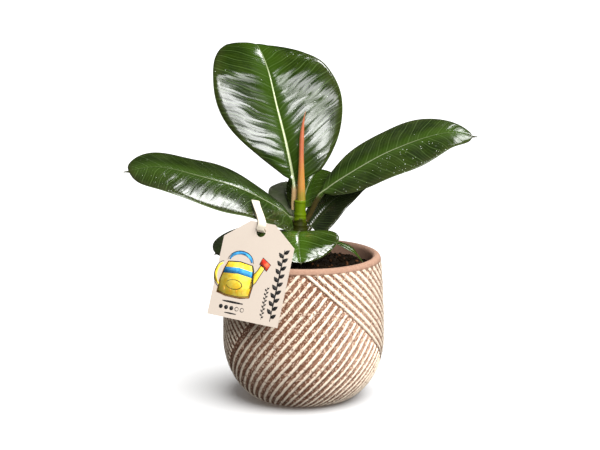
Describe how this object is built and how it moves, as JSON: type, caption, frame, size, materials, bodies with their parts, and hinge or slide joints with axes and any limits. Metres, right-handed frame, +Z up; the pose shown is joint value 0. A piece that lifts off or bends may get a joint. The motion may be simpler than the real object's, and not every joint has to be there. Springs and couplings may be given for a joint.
{
  "type": "potted ficus",
  "caption": "Small rubber-fig plant with broad glossy leaves and a red bud sheath, in a round ridged clay pot, with a paper care tag.",
  "frame": {"origin": "centre of the pot's flat underside", "axes": "+Z up along the pot's axis, +X to the right and -Y to the front, where the care tag hangs"},
  "size_m": [0.1911, 0.1133, 0.1946],
  "materials": {
    "pot": "unglazed terracotta with whitewashed ridges, matt and grainy",
    "soil": "dark, loose, crumbly potting soil",
    "stem": "green bark, semi-matt",
    "sheath": "satin coral-red sheath",
    "leaf": "glossy waxy dark green leaf with a pale midrib",
    "tag_paper": "matt cream card with a printed drawing"
  },
  "bodies": {
    "root": {"pot": "pot", "soil": "soil", "stem": "stem", "bud_sheath": "sheath", "leaf_top": "leaf", "leaf_left": "leaf", "leaf_right": "leaf", "leaf_lower_right": "leaf", "leaf_back_left": "leaf", "leaf_back_right": "leaf", "leaf_front": "leaf", "leaf_small_right": "leaf", "leaf_low_left": "leaf", "tag_card": "tag_paper", "tag_strap": "tag_paper"}
  },
  "joints": []
}
